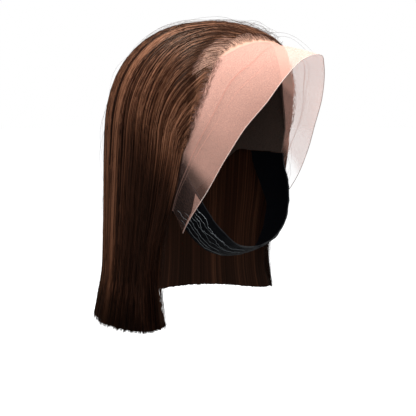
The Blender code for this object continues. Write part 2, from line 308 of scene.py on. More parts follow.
def combed_ways(share, sign, steps):
    """Directions a lock passes on its way from its root to the widest level: a cubic curve on the head.

    It leaves the root at the comb angle, -90 over the crown, 0 round the head and 90 down, and arrives
    going straight down.
    """
    root_azimuth = read_column(STRANDS, "share", "root_azimuth", share)
    root_polar = read_column(STRANDS, "share", "root_polar", share)
    root = direction(sign * root_azimuth, root_polar)
    comb = np.radians(read_column(STRANDS, "share", "comb", share))[:, None]
    turn = np.radians(root_azimuth)
    round_head = np.stack((np.cos(turn) * sign, np.sin(turn), 0 * share), -1)
    down_head = direction(sign * root_azimuth, root_polar + 90)
    fall = sign * read_column(STRANDS, "share", "fall_azimuth", share)
    end = direction(fall, np.maximum(90.0, root_polar + 2))
    reach = np.arccos(np.clip((root * end).sum(-1), -1, 1))[:, None]
    leave = root + ROOT_PULL_SHARE * reach * (np.cos(comb) * round_head + np.sin(comb) * down_head)
    arrive = end + FALL_PULL_SHARE * reach * np.array((0.0, 0.0, 1.0))
    t = np.linspace(0, 1, steps)[:, None, None]
    way = (1 - t) ** 3 * root + 3 * t * (1 - t) ** 2 * leave + 3 * t * t * (1 - t) * arrive + t ** 3 * end
    return unit(way), fall


def over_lace(way):
    """1 where a direction lies over the lace, 0 from a little behind its seam on."""
    azimuth = np.degrees(np.arctan2(np.abs(way[..., 0]), -way[..., 1]))
    polar = np.degrees(np.arccos(np.clip(way[..., 2], -1, 1)))
    below = polar - np.interp(azimuth, LACE["seam_azimuth"], LACE["seam_polar"])
    before = np.interp(polar, LACE["seam_polar"], LACE["seam_azimuth"]) - azimuth
    before = before * np.sin(np.radians(polar))
    ahead = np.where(below > 0, 1, -1) * np.abs(below * before) / np.sqrt(below ** 2 + before ** 2 + 1e-6)
    return smooth_step(1 + (ahead + LACE_MARGIN) / LACE_BLEND)


def hair_field(outer):
    """Grid of points of the hair's inner (0) or outer (1) face.

    Sides run from -1 to 1. Rows run first over the lace from the hairline to the root of the mass, then
    down a cubic curve over the head and straight down to the hem, spaced evenly along each lock.
    """
    sides = np.linspace(-1, 1, FIELD_SIDES)
    share = np.abs(sides)
    sign = np.where(sides < 0, -1.0, 1.0)
    edge = smooth_step((share - 0.80) / 0.20)
    way, fall = combed_ways(share, sign, WAY_STEPS)
    combed = np.linspace(0, 1, WAY_STEPS)[:, None]
    lift = HAIR_OVER_CAP + (HAIR_OVER_LACE - HAIR_OVER_CAP) * over_lace(way)
    over_head = along_form(way, lift + outer * hair_thickness(combed, edge))
    drop = np.linspace(0, 1, WAY_STEPS)[1:, None]
    far = (sides > 0) * smooth_step(share / 0.8)
    gather = read_column(FALL, "drop", "gather", drop)
    far_gather = read_column(FALL, "drop", "left_gather", drop)
    gather = FRONT_GATHER * (gather + far * (far_gather - gather)) * share ** 2
    lift = lift[-1] + HEM_FLARE * read_column(FALL, "drop", "flare", drop)
    plan = over_form(fall + sign * gather, 90.0, lift + outer * hair_thickness(1 + drop, edge))
    top = over_head[-1, :, 2]
    hem = FORM_CENTRE[2] - HAIR_DROP + (FRONT_TRIM - LEFT_LONGER * far) * share ** 1.4
    plan[..., 2] = top + drop * (hem - top)
    path = np.concatenate((over_head, plan))

    run = np.linalg.norm(np.diff(path, axis=0), axis=-1)
    run = np.concatenate((np.zeros((1, run.shape[1])), np.cumsum(run, axis=0)))
    grid = np.empty((FIELD_SIDES, FIELD_FRONT + FIELD_ROWS, 3))
    for column in range(FIELD_SIDES):
        at = np.linspace(0, 1, FIELD_ROWS) * run[-1, column]
        for axis in range(3):
            grid[column, FIELD_FRONT:, axis] = np.interp(at, run[:, column], path[:, column, axis])
    before = np.linspace(0, 1, FIELD_FRONT, endpoint=False)[None, :, None]
    line = direction(sign * read_column(STRANDS, "share", "line_azimuth", share),
                     read_column(STRANDS, "share", "line_polar", share))
    ahead = unit(line[:, None] * (1 - before) + way[0][:, None] * before)
    base = LACE_LIFT + HAIRLINE_RISE
    near = base + (HAIR_OVER_LACE - base) * before[..., 0]
    grid[:, :FIELD_FRONT] = along_form(ahead, near + outer * HAIRLINE_BODY * before[..., 0])
    return grid


HAIR_INNER = hair_field(0.0)
HAIR_OUTER = hair_field(1.0)


def sample_field(field, side, along):
    """Bilinear reading of a field, and on past its end.

    Along is -1 at the hairline, 0 at the root of the mass and 1 at the hem.
    """
    x = (np.clip(side, -1, 1) + 1) / 2 * (FIELD_SIDES - 1)
    y = np.where(along < 0, FIELD_FRONT * (1 + along), FIELD_FRONT + along * (FIELD_ROWS - 1))
    column = np.clip(x.astype(int), 0, FIELD_SIDES - 2)
    row = np.clip(y.astype(int), 0, FIELD_FRONT + FIELD_ROWS - 2)
    fx = (x - column)[..., None]
    fy = (y - row)[..., None]
    near = field[column, row] * (1 - fx) + field[column + 1, row] * fx
    far = field[column, row + 1] * (1 - fx) + field[column + 1, row + 1] * fx
    return near * (1 - fy) + far * fy


def hair_relief(side, along):
    """Height of locks in metres: three layers of noise across the hair that hardly change along it."""
    x = (side + 1) / 2
    y = np.clip(along, 0, 1)
    locks = sum(height * ripple(x, y, cells, 2, seed) for height, cells, seed in LOCK_RIPPLES)
    return 0.0010 * smooth_step(along / 0.4) + locks * smooth_step((along + 0.02) / 0.25)


def hair_at(side, along, depth):
    """Points in the hair, at depth's share of the way from inner to outer face, plus the relief."""
    inner = sample_field(HAIR_INNER, side, along)
    outer = sample_field(HAIR_OUTER, side, along)
    out = unit(outer - inner)
    lift = hair_relief(side, along) * np.clip(depth, 0, 1)
    return inner + (outer - inner) * depth[..., None] + out * lift[..., None]


def wall_at(side, along):
    """Distance between the hair's inner and outer face."""
    across = sample_field(HAIR_OUTER, side, along) - sample_field(HAIR_INNER, side, along)
    return np.linalg.norm(across, axis=-1)


# Materials

def new_material(name, roughness=0.5, colour=(0.8, 0.8, 0.8)):
    """A Principled material and its nodes."""
    material = bpy.data.materials.new(name)
    material.use_nodes = True
    nodes = material.node_tree.nodes
    shader = nodes["Principled BSDF"]
    shader.inputs["Roughness"].default_value = roughness
    shader.inputs["Base Color"].default_value = (*colour, 1)
    return material, nodes, material.node_tree.links, shader


def ramp_node(nodes, stops):
    """A colour ramp with the given (place, colour) stops."""
    node = nodes.new("ShaderNodeValToRGB")
    ramp = node.color_ramp
    while len(ramp.elements) < len(stops):
        ramp.elements.new(0.5)
    for element, (place, colour) in zip(ramp.elements, stops):
        element.position = place
        element.color = (*colour, 1)
    return node


def value_node(nodes, name):
    """Reads a point value of the piece."""
    node = nodes.new("ShaderNodeAttribute")
    node.attribute_name = name
    return node.outputs["Fac"]


def math_node(nodes, links, operation, first, second):
    """One arithmetic step between two sockets or numbers."""
    node = nodes.new("ShaderNodeMath")
    node.operation = operation
    for socket, value in zip(node.inputs, (first, second)):
        if isinstance(value, (int, float)):
            socket.default_value = value
        else:
            links.new(value, socket)
    return node.outputs[0]


HAIR_DARK = (0.0065, 0.0024, 0.0015)
HAIR_MID = (0.037, 0.0134, 0.0076)
HAIR_WARM = (0.118, 0.047, 0.024)
HAIR_LIGHT = (0.33, 0.150, 0.085)


def hair_material(name, roughness):
    """Brown hair: each strand's tint picks a brown, deeper toward the hem, partly the hair's own colour and
    partly painted shade where the light from above falls off.
    """
    material, nodes, links, shader = new_material(name, roughness)
    tint = value_node(nodes, "tint")
    along = value_node(nodes, "along")
    chart = nodes.new("ShaderNodeTexCoord")
    grain = nodes.new("ShaderNodeTexNoise")
    grain.inputs["Scale"].default_value = 900
    grain.inputs["Detail"].default_value = 2
    links.new(chart.outputs["Object"], grain.inputs["Vector"])
    fine = math_node(nodes, links, "SUBTRACT", grain.outputs["Fac"], 0.5)
    fine = math_node(nodes, links, "MULTIPLY", fine, 0.10)
    # Darker toward the hem: partly the hair's own deeper brown, partly painted shade on the lower hair.
    shade = math_node(nodes, links, "MULTIPLY", math_node(nodes, links, "POWER", along, 0.7), 0.28)
    picked = math_node(nodes, links, "SUBTRACT", math_node(nodes, links, "ADD", tint, fine), shade)
    ramp = ramp_node(nodes, ((0.0, HAIR_DARK), (0.38, HAIR_MID), (0.72, HAIR_WARM), (1.0, HAIR_LIGHT)))
    links.new(picked, ramp.inputs["Fac"])
    links.new(ramp.outputs["Color"], shader.inputs["Base Color"])
    shader.inputs["Specular IOR Level"].default_value = 0.16
    shader.inputs["Specular Tint"].default_value = (1.0, 0.70, 0.48, 1)
    return material


# Hair: long strands over a closed body, then short and loose hairs

STRAND_RADIUS = 0.00023
EDGE_HAIR_RADIUS = 0.00015
LOOSE_HAIR_RADIUS = 0.00011
BROW_HAIR_TOP = 0.0105
BROW_HAIR_FRONT = -0.118
SHELL_ROWS = 27
SHELL_SINK = 0.0013
STRAND_STEPS = 17
HEAD_STEP_WEIGHT = 3.0
CLUMPS = 640
clump_places = np.sort(chance.uniform(-1, 1, CLUMPS))
clump_tints = chance.normal(0, 0.25, CLUMPS)
clump_drift = chance.normal(0, 0.011, CLUMPS)
clump_phase = chance.uniform(0, 2 * np.pi, CLUMPS)


def nearest_clump(side):
    """Number of the clump whose place is nearest to each side."""
    return np.abs(side[:, None] - clump_places[None]).argmin(1)


def strand_tint(side, own):
    """Tint of a strand: wide bands of light and dark hair, its clump's shade, and its own."""
    x = (side + 1) / 2
    middle = np.full(x.shape, 0.5)
    band = ripple(x, middle, 70, 1, 11) * 0.09 + ripple(x, middle, 170, 1, 12) * 0.16
    return np.clip(0.67 + band + clump_tints[nearest_clump(side)] + own, 0.02, 1.0)


def painted_shade_band(side, along):
    """Painted shade: how much deeper the brown is made in the lower middle of each curtain, where the light
    from above leaves it in shadow, less so at its hem.
    """
    share = np.abs(side)
    begin = 0.36 - 0.16 * smooth_step((share - 0.70) / 0.2)
    deep = 0.50 * smooth_step((share - 0.40) / 0.16) * smooth_step((1.25 - share) / 0.3)
    return deep * smooth_step((along - begin) / 0.2) * (1 - 0.55 * smooth_step((along - 0.84) / 0.14))


def wedge(share):
    """1 in the corner between brow and temple, where the mass starts further behind the hairline."""
    return smooth_step((share - 0.60) / 0.08) * smooth_step((0.84 - share) / 0.08)


def root_glow(side, along):
    """How much lighter the hair is close to its roots at the temple, where the lace shows through."""
    share = np.abs(side)
    at_temple = smooth_step((share - 0.74) / 0.08) * smooth_step((0.98 - share) / 0.06)
    return 0.26 * at_temple * smooth_step((0.10 - along) / 0.14)


def combed_strands(name, low, high, count, seed, material):
    """Long strands of one panel, from hairline to hem, that wander a little and gather to clumps."""
    rng = np.random.default_rng(seed)
    side = rng.uniform(low, high, count)
    share = np.abs(side)
    temple = smooth_step((share - 0.74) / 0.10)
    from_line = rng.uniform(size=count) < (0.05 + 0.60 * temple) * (1 - 0.9 * wedge(share))
    ahead = 0.16 + 0.76 * temple
    set_back = 0.030 * (1 - temple) + 0.016 * wedge(share)
    line_start = -ahead * rng.uniform(0, 1, count) ** 2.0
    mass_start = set_back + rng.uniform(0, 0.42, count) ** 1.15
    start = np.where(from_line, line_start, mass_start)
    finish = 1.0 + rng.normal(0, 0.0038, count) + 0.0012 * ripple((side + 1) / 2, 0 * side, 90, 1, 14)
    finish = np.where(rng.uniform(size=count) < 0.08, rng.uniform(0.90, 0.985, count), finish)
    t = np.linspace(0, 1, STRAND_STEPS)[None]
    head_run = HEAD_STEP_WEIGHT * (0.5 - start)[:, None]
    run = t * (head_run + (finish - 0.5)[:, None])
    along = np.where(run < head_run, start[:, None] + run / HEAD_STEP_WEIGHT, 0.5 + run - head_run)
    nearest = nearest_clump(side)
    clump = clump_places[nearest]
    gather = 0.45 * smooth_step((along - 0.30) / 0.40) * (1 - 0.8 * smooth_step((along - 0.82) / 0.18))
    wave = rng.uniform(0, 2 * np.pi, (count, 2))
    drift = (rng.normal(0, 0.0035, count) + clump_drift[nearest])[:, None] * smooth_step(along / 0.8)
    drift += 0.0040 * np.sin(along * 6.5 + clump_phase[nearest][:, None]) * smooth_step(along / 0.3)
    stray = (rng.uniform(size=count) < 0.04) * rng.normal(0, 0.02, count)
    drift += stray[:, None] * smooth_step(along)
    wander = 0.0010 * np.sin(along * 4.5 + wave[:, :1]) + 0.0004 * np.sin(along * 11.0 + wave[:, 1:])
    place = side[:, None] + (clump - side)[:, None] * gather + drift
    place = place + wander * smooth_step(along / 0.2 + 0.4)
    place = np.clip(place, low + 0.0004, high - 0.0004)
    top = 1 + rng.uniform(-0.0010, 0.0004, count)[:, None] / np.maximum(wall_at(place, along), 0.002)
    sunk = smooth_step(1 - (along - start[:, None]) / 0.16) * (start[:, None] > 0)
    depth = top * (1 - 0.6 * sunk)
    depth = depth * smooth_step((along + 1.0) / 0.5)
    paths = hair_at(place, along, depth)
    size = STRAND_RADIUS * rng.uniform(0.7, 1.3, count)[:, None]
    taper = rng.uniform(0.80, 0.97, count)[:, None]
    radii = size * (0.45 + 0.55 * smooth_step((t + 0.02) / 0.1))
    radii = radii * (1 - 0.8 * smooth_step((t - taper) / (1 - taper)))
    tint = strand_tint(side, rng.normal(0, 0.21, count))[:, None]
    # Painted shade: the band deepens the brown in the lower middle of each curtain; the temple roots are
    # lighter where the lace shows through.
    tint = tint - painted_shade_band(place, along) + root_glow(place, along)
    return strand_object(name, paths, radii, material, {"tint": tint, "along": np.clip(along, 0, 1)})


def hair_shell(name, low, high, columns, material):
    """The body of hair under the strands: a closed wall between its inner and outer face.

    Its front starts behind the hairline along a ragged line, where it thins to nothing.
    """
    places = np.linspace(low, high, columns + 1), np.linspace(0, 1, SHELL_ROWS + 1)
    side, along = np.meshgrid(*places, indexing="ij")
    share = np.abs(side)
    x = (side + 1) / 2
    set_back = 0.060 - 0.050 * smooth_step((share - 0.74) / 0.12) + 0.020 * wedge(share)
    set_back = set_back + 0.008 * ripple(x, 0 * x, 150, 1, 23) + 0.007 * ripple(x, 0 * x, 380, 1, 24)
    set_back = np.maximum(set_back, 0.004)
    hem = 0.9985 + 0.0018 * ripple(x, 0 * x, 380, 1, 25)
    along = set_back + (hem - set_back) * along
    depth = 1 - SHELL_SINK / np.maximum(wall_at(side, along), 2 * SHELL_SINK)
    thinned = smooth_step((set_back + 0.05 - along) / 0.05)
    outer = hair_at(side, along, depth * (1 - 0.96 * thinned))
    inner = hair_at(side, along, np.full(side.shape, 0.02))
    streaks = 0.10 * ripple(x, along, 40, 1, 11) + 0.12 * ripple(x, along, 220, 2, 21)
    streaks = streaks + 0.14 * ripple(x, along, 560, 3, 22)
    # Painted shade: the outer face's low base tint darkens the gaps between the strands over it, and the
    # painted shade band darkens the lower middle.
    outside = np.clip(0.18 + streaks - painted_shade_band(side, along), 0, 1)
    inside = np.clip(0.46 + 1.3 * streaks, 0, 1)
    # The inner face takes half of the darkening toward the hem, painted shade included.
    values = {"tint": (outside, inside), "along": (along, 0.5 * along)}
    return walled_sheet(name, outer, inner, material, values)


def hairline_sides(count, rng, low, high):
    """Sides spread evenly by length along both halves of the hairline, between two shares."""
    share = np.linspace(low, high, 400)
    line = direction(read_column(STRANDS, "share", "line_azimuth", share),
                     read_column(STRANDS, "share", "line_polar", share))
    run = np.concatenate(((0,), np.cumsum(np.linalg.norm(np.diff(line, axis=0), axis=1))))
    at = np.interp(rng.uniform(0, run[-1], count), run, share)
    return at * rng.choice((-1.0, 1.0), count)


def short_hairs(name, material, sow, count, sides, start, length, stand, thick, tint, seed, steps, forward):
    """Short hairs over the lace, combed back, arched by how far they stand off.

    They start at the first number of start plus its second times a random share raised to its third.
    Length, stand and thick are ranges, and tint is a mean and its spread. Forward moves the hairs on
    past the hairline, in metres, the way the field runs there.
    """
    side = hairline_sides(count, sow, *sides)
    start = start[0] + start[1] * sow.uniform(0, 1, count) ** start[2]
    length, stand, thick = (sow.uniform(*limits, count) for limits in (length, stand, thick))
    tint = np.clip(tint[0] + sow.normal(0, tint[1], count), 0.0, 1.0)
    rng = np.random.default_rng(seed)
    t = np.linspace(0, 1, steps)[None]
    along = start[:, None] + length[:, None] * t
    along = np.where(along > 0, along * (0.08 + 0.05 * wedge(np.abs(side)))[:, None], along)
    place = side[:, None] + rng.normal(0, 0.006, count)[:, None] * t
    inner = sample_field(HAIR_INNER, place, along)
    outer = sample_field(HAIR_OUTER, place, np.maximum(along, 0))
    lift = 0.0001 + stand[:, None] * np.sin(np.pi * t * 0.75)
    paths = inner + unit(inner - FORM_CENTRE) * lift[..., None]
    paths += (outer - inner) * smooth_step(along / 0.05)[..., None] * 0.95
    line = sample_field(HAIR_INNER, place, 0 * along - 1.0)
    ahead = unit(line - sample_field(HAIR_INNER, place, 0 * along - 0.7))
    paths += ahead * (forward * rng.uniform(0, 1, count)[:, None, None] ** 2)
    radii = thick[:, None] * (1 - 0.65 * t)
    return strand_object(name, paths, radii, material, {"tint": tint[:, None], "along": 0.0})


def pushed_forward(paths, side, distance):
    """Paths moved round the head toward the face, each point by its distance."""
    round_head = unit(np.cross(paths - FORM_CENTRE, (0.0, 0.0, 1.0)))
    return paths + round_head * (np.sign(side)[:, None] * distance)[..., None]


def flyaways(name, count, seed, material):
    """Single loose hairs that stand off the surface along part of their way."""
    rng = np.random.default_rng(seed)
    side = rng.uniform(-1, 1, count)
    start = rng.uniform(-0.2, 0.75, count)
    length = rng.uniform(0.15, 0.5, count)
    t = np.linspace(0, 1, 15)[None]
    along = np.minimum(start[:, None] + length[:, None] * t, 1.02)
    place = side[:, None] + rng.normal(0, 0.05, count)[:, None] * t ** 1.5
    stand = rng.uniform(0.001, 0.007, count)[:, None] * np.sin(np.pi * np.clip(t * 1.15, 0, 1)) ** 1.2
    outer = sample_field(HAIR_OUTER, place, along)
    inner = sample_field(HAIR_INNER, place, along)
    paths = outer + unit(outer - inner) * (stand - 0.0004)[..., None]
    push = rng.uniform(-0.2, 1, count)[:, None] * smooth_step((np.abs(place) - 0.80) / 0.2)
    paths = pushed_forward(paths, side, push * np.sin(np.pi * t) * 0.006)
    radii = LOOSE_HAIR_RADIUS * rng.uniform(0.8, 1.2, count)[:, None] * (1 - 0.6 * t)
    tint = np.clip(0.45 + rng.normal(0, 0.12, count), 0.05, 1)[:, None]
    return strand_object(name, paths, radii, material, {"tint": tint, "along": np.clip(along, 0, 1)})


def edge_hairs(name, count, seed, material):
    """Sparse fine hairs ahead of both curtains' front edges, furthest forward in the lower middle."""
    rng = np.random.default_rng(seed)
    side = rng.choice((-1.0, 1.0), count, p=(0.7, 0.3)) * (1 - 0.06 * rng.uniform(0, 1, count) ** 1.5)
    start = rng.uniform(0.15, 0.55, count)
    finish = np.minimum(start + rng.uniform(0.35, 0.8, count), 1 + rng.normal(0, 0.008, count))
    t = np.linspace(0, 1, 11)[None]
    along = start[:, None] + (finish - start)[:, None] * t
    place = side[:, None] + 0 * t
    inner = sample_field(HAIR_INNER, place, along)
    outer = sample_field(HAIR_OUTER, place, along)
    paths = inner + (outer - inner) * rng.uniform(0.15, 1.0, count)[:, None, None]
    push = 0.0065 * rng.uniform(0, 1, count)[:, None] ** 1.3 * smooth_step(t / 0.4)
    push = push * smooth_step((along - 0.30) / 0.35) * (1 - 0.5 * smooth_step((along - 0.85) / 0.15))
    paths = pushed_forward(paths, side, push)
    radii = EDGE_HAIR_RADIUS * rng.uniform(0.7, 1.2, count)[:, None] * (1 - 0.6 * t)
    tint = np.clip(0.42 + rng.normal(0, 0.16, count), 0.02, 1)[:, None]
    return strand_object(name, paths, radii, material, {"tint": tint, "along": np.clip(along, 0, 1)})


def brow_hairs(name, count, seed, material):
    """A few long hairs from the top of the brow in slack arcs: a push and a rise, less a growing droop.

    The first is longer than the rest, and none passes the limits above and in front.
    """
    rng = np.random.default_rng(seed)
    t = np.linspace(0, 1, 16)[None]
    side = rng.uniform(-0.55, 0.62, count)
    root = sample_field(HAIR_OUTER, side, rng.uniform(0.0, 0.10, count))
    length = rng.uniform(0.012, 0.030, count)
    length[0] = 0.052
    turn = np.radians(rng.uniform(-50, 75, count))
    push = np.stack((np.sin(turn), -np.cos(turn), 0 * turn), -1)
    rise = rng.uniform(0.25, 0.75, count)[:, None] * (0.0, 0.0, 1.0)
    droop = rng.uniform(0.5, 1.0, count)[:, None] * (0.0, 0.0, 1.0)
    arc = (push + rise)[:, None] * t[..., None] - droop[:, None] * t[..., None] ** 2
    paths = root[:, None] + length[:, None, None] * arc
    paths[..., 2] = np.minimum(paths[..., 2], BROW_HAIR_TOP)
    paths[..., 1] = np.maximum(paths[..., 1], BROW_HAIR_FRONT)
    radii = LOOSE_HAIR_RADIUS * (1 - 0.5 * t)
    return strand_object(name, paths, radii, material, {"tint": 0.35, "along": 0.0})


sleek_hair = hair_material("sleek_brown_hair", 0.36)
under_hair = hair_material("dense_brown_hair", 0.55)

for name, low, high, columns in (
    ("hair_right", -1.0, -PANEL_SPLIT_SHARE, 210),
    ("hair_back", -PANEL_SPLIT_SHARE, PANEL_SPLIT_SHARE, 300),
    ("hair_left", PANEL_SPLIT_SHARE, 1.0, 210),
):
    shell = hair_shell(name + "_body", low, high, columns, under_hair)
    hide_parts(name)

for name, low, high, count, seed in (
    ("strands_right_front", -1.0, -0.66, 1300, 101),
    ("strands_right_rear", -0.67, -0.38, 1300, 102),
    ("strands_back_right", -0.40, 0.0, 1350, 103),
    ("strands_back_left", 0.0, 0.40, 1050, 104),
    ("strands_left", 0.38, 1.0, 1500, 105),
):
    piece = combed_strands(name, low, high, count, seed, sleek_hair)

SHORT_HAIRS = {
    "hairline_stubble": {
        "count": 2800, "sides": (0.0, 0.86), "start": (0.7, -1.68, 1.2), "length": (0.15, 0.5),
        "stand": (0.0002, 0.0009), "thick": (0.00006, 0.00012), "tint": (0.50, 0.14),
        "seed": 201, "steps": 4, "forward": 0.0,
    },
    "temple_knots": {
        "count": 1000, "sides": (0.76, 0.995), "start": (-0.55, -0.45, 1.0), "length": (0.03, 0.16),
        "stand": (0.0001, 0.0005), "thick": (0.00011, 0.00019), "tint": (0.64, 0.12),
        "seed": 202, "steps": 4, "forward": 0.0050,
    },
    "baby_hairs": {
        "count": 650, "sides": (0.3, 1.0), "start": (-0.1, -0.8, 1.0), "length": (0.6, 1.6),
        "stand": (0.0005, 0.0022), "thick": (0.00007, 0.00013), "tint": (0.40, 0.12),
        "seed": 203, "steps": 6, "forward": 0.0,
    },
}
sow = np.random.default_rng(61)
for name, kind in SHORT_HAIRS.items():
    short_hairs(name, sleek_hair, sow, **kind)
flyaways("loose_hairs", 260, 204, sleek_hair)
edge_hairs("front_edge_hairs", 300, 206, sleek_hair)
brow_hairs("brow_hairs", 26, 205, sleek_hair)


# Lace: its sheet, its free edge and the tip folded back at the right ear

LACE_COLUMNS, LACE_ROWS, SEAM_ROWS = 210, 50, 12
LACE_BODY = 0.29
SEAM_BODY = 0.02
LACE_EDGE_RADIUS = 0.00034
LACE_PINK = (0.97, 0.54, 0.43)
LACE_GOLD = (0.55, 0.31, 0.21)
FOLD_RED = (0.42, 0.13, 0.09)


def lace_point(side, down, lift):
    """A point of the lace, from its seam at -1 over the hairline at 0 to its free edge at 1."""
    share = np.abs(side)
    ahead = np.clip(down, 0, 1)
    behind = np.clip(-down, 0, 1)
    azimuth, polar = (
        (1 - ahead - behind) * read_column(LACE, "share", "line_" + angle, share)
        + ahead * read_column(LACE, "share", "edge_" + angle, share)
        + behind * read_column(LACE, "share", "seam_" + angle, share)
        for angle in ("azimuth", "polar")
    )
    rise = read_column(LACE, "share", "stand_off", share) * LACE_STAND_OFF * ahead ** 1.45
    crease = read_column(LACE, "share", "crease", share)
    ridge = 0.0002 * np.exp(-((ahead - crease) / 0.03) ** 2)
    slack = 0.0009 * ripple((side + 1) / 2, ahead, 11, 2, 31) * smooth_step(ahead / 0.4)
    return over_form(np.sign(side) * azimuth, polar, LACE_LIFT + rise + ridge + slack + lift)


def map_node(nodes, links, value, reach, result, blend="LINEAR"):
    """Maps a socket's reach of values to the result's, held at its ends."""
    node = nodes.new("ShaderNodeMapRange")
    node.interpolation_type = blend
    for name, number in zip(("From Min", "From Max", "To Min", "To Max"), (*reach, *result)):
        node.inputs[name].default_value = number
    links.new(value, node.inputs["Value"])
    return node.outputs["Result"]


def line_mask(nodes, links, distance, width):
    """1 on a line and 0 from the given distance on, as a smooth hat."""
    size = math_node(nodes, links, "ABSOLUTE", distance, 0.0)
    return map_node(nodes, links, size, (0.0, width), (1.0, 0.0), "SMOOTHSTEP")


def mix_node(nodes, links, factor, first, second):
    """Mixes a colour or socket with a second colour, by a socket."""
    node = nodes.new("ShaderNodeMix")
    node.data_type = "RGBA"
    if isinstance(first, tuple):
        node.inputs["A"].default_value = (*first, 1)
    else:
        links.new(first, node.inputs["A"])
    node.inputs["B"].default_value = (*second, 1)
    links.new(factor, node.inputs["Factor"])
    return node.outputs["Result"]


def lace_material():
    """Sheer lace: a fine net of pale thread, gold and denser at the hairline, with fine fold lines, and a
    faint pink glow, painted light that brightens it, most where the lamps leave it in shade.
    """
    material, nodes, links, shader = new_material("sheer_lace", 0.9)
    shader.inputs["Specular IOR Level"].default_value = 0.2
    # Painted light: a faint pink glow over the whole lace, standing for light that the sheer net scatters.
    shader.inputs["Emission Color"].default_value = (1.0, 0.66, 0.56, 1)
    shader.inputs["Emission Strength"].default_value = 0.20
    gold = value_node(nodes, "gold")
    body = value_node(nodes, "body")
    place = nodes.new("ShaderNodeTexCoord")
    net = nodes.new("ShaderNodeTexVoronoi")
    net.feature = "DISTANCE_TO_EDGE"
    net.inputs["Scale"].default_value = 1300
    links.new(place.outputs["Object"], net.inputs["Vector"])
    thread = map_node(nodes, links, net.outputs["Distance"], (0.02, 0.16), (1.35, 0.75))
    tone = mix_node(nodes, links, gold, LACE_PINK, LACE_GOLD)
    first = line_mask(nodes, links, value_node(nodes, "fold_a"), 0.014)
    second = line_mask(nodes, links, value_node(nodes, "fold_b"), 0.010)
    folds = math_node(nodes, links, "ADD", first, math_node(nodes, links, "MULTIPLY", second, 0.6))
    tone = mix_node(nodes, links, math_node(nodes, links, "MULTIPLY", folds, 0.9), tone, FOLD_RED)
    links.new(tone, shader.inputs["Base Color"])
    cover = math_node(nodes, links, "MULTIPLY", thread, body)
    cover = math_node(nodes, links, "ADD", cover, math_node(nodes, links, "MULTIPLY", folds, 0.30))
    cover = math_node(nodes, links, "ADD", cover, math_node(nodes, links, "MULTIPLY", gold, 0.72))
    links.new(math_node(nodes, links, "MINIMUM", cover, 1.0), shader.inputs["Alpha"])
    return material


behind_line = np.linspace(-1, 0, SEAM_ROWS, endpoint=False)
ahead_of_line = np.linspace(0, 1, LACE_ROWS + 1 - SEAM_ROWS)
lace_side, lace_down = np.meshgrid(
    np.linspace(-1, 1, LACE_COLUMNS + 1), np.concatenate((behind_line, ahead_of_line)), indexing="ij")
lace_share = np.abs(lace_side)
crease_at = read_column(LACE, "share", "crease", lace_share)
second_at = crease_at + 0.10 + 0.10 * np.cos(2.6 * lace_side + 0.5)
seam_fade = smooth_step((lace_down + 0.99) / 0.24)
gold_value = smooth_step((0.58 - lace_share) / 0.08) * smooth_step((0.02 - lace_down) / 0.04) * seam_fade
body_value = LACE_BODY - 0.05 * smooth_step((lace_share - 0.62) / 0.12)
body_value = body_value - 0.20 * smooth_step((lace_share - 0.80) / 0.06)
body_value = body_value - 0.02 * smooth_step((lace_share - 0.87) / 0.03)
body_value = SEAM_BODY + (body_value - SEAM_BODY) * seam_fade
sheer_lace = lace_material()
lace = walled_sheet(
    "lace_front_sheet",
    lace_point(lace_side, lace_down, 0.0008),
    lace_point(lace_side, lace_down, 0.0002),
    sheer_lace,
    {"fold_a": lace_down - crease_at, "fold_b": lace_down - second_at,
     "gold": gold_value, "body": body_value},
)
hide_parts("lace_front")


def edge_cord():
    """The lace's free edge: a thin five-sided thread along it."""
    side = np.linspace(-1, 1, 200)[None]
    path = lace_point(side, 0 * side + 1, 0.0005)
    material, _, _, shader = new_material("lace_edge", 0.6, (0.86, 0.72, 0.66))
    shader.inputs["Alpha"].default_value = 0.8
    return strand_object("lace_edge", path, LACE_EDGE_RADIUS, material, {}, (0, 72, 144, 216, 288))


def folded_tip():
    """The lace doubled back beside its tip at the right ear, from a fold line to the free edge."""
    share = np.linspace(0.884, 0.998, 40)[:, None]
    fold = np.interp(share, (0.884, 0.927, 0.962, 0.998), (0.76, 0.93, 0.955, 0.97))
    down = fold + (1.0 - fold) * np.linspace(0, 1, 9)[None]
    side = -share + 0 * down
    values = {"fold_a": down - fold, "fold_b": 1 + 0 * down, "gold": 0 * down, "body": 0.15 + 0 * down}
    outer, inner = lace_point(side, down, 0.0020), lace_point(side, down, 0.0014)
    return walled_sheet("lace_fold", outer, inner, sheer_lace, values)


free_edge = edge_cord()
tip = folded_tip()


# Cap

def cap_material():
    """Dark stretch net: a fine knit on matt brown."""
    material, nodes, links, shader = new_material("stretch_net", 0.85)
    place = nodes.new("ShaderNodeTexCoord")
    net = nodes.new("ShaderNodeTexVoronoi")
    net.inputs["Scale"].default_value = 700
    links.new(place.outputs["Object"], net.inputs["Vector"])
    ramp = ramp_node(nodes, ((0.0, (0.014, 0.010, 0.008)), (0.45, (0.075, 0.052, 0.040))))
    links.new(net.outputs["Distance"], ramp.inputs["Fac"])
    links.new(ramp.outputs["Color"], shader.inputs["Base Color"])
    bump = nodes.new("ShaderNodeBump")
    bump.inputs["Strength"].default_value = 0.5
    bump.inputs["Distance"].default_value = 0.0004
    links.new(net.outputs["Distance"], bump.inputs["Height"])
    links.new(bump.outputs["Normal"], shader.inputs["Normal"])
    return material


def cap_dome(lift, columns, rings):
    """Points of one face of the cap: the crown's pole, then rings round the head down to the edge."""
    azimuth = np.linspace(-180, 180, columns, endpoint=False)[None]
    edge = read_column(CAP_EDGE, "azimuth", "polar", np.abs(azimuth))
    share = np.linspace(0, 1, rings + 1)[1:, None]
    rounds = over_form(azimuth + 0 * share, edge * share, lift)
    return np.concatenate((over_form(0.0, 0.0, lift).reshape(1, 3), rounds.reshape(-1, 3)))


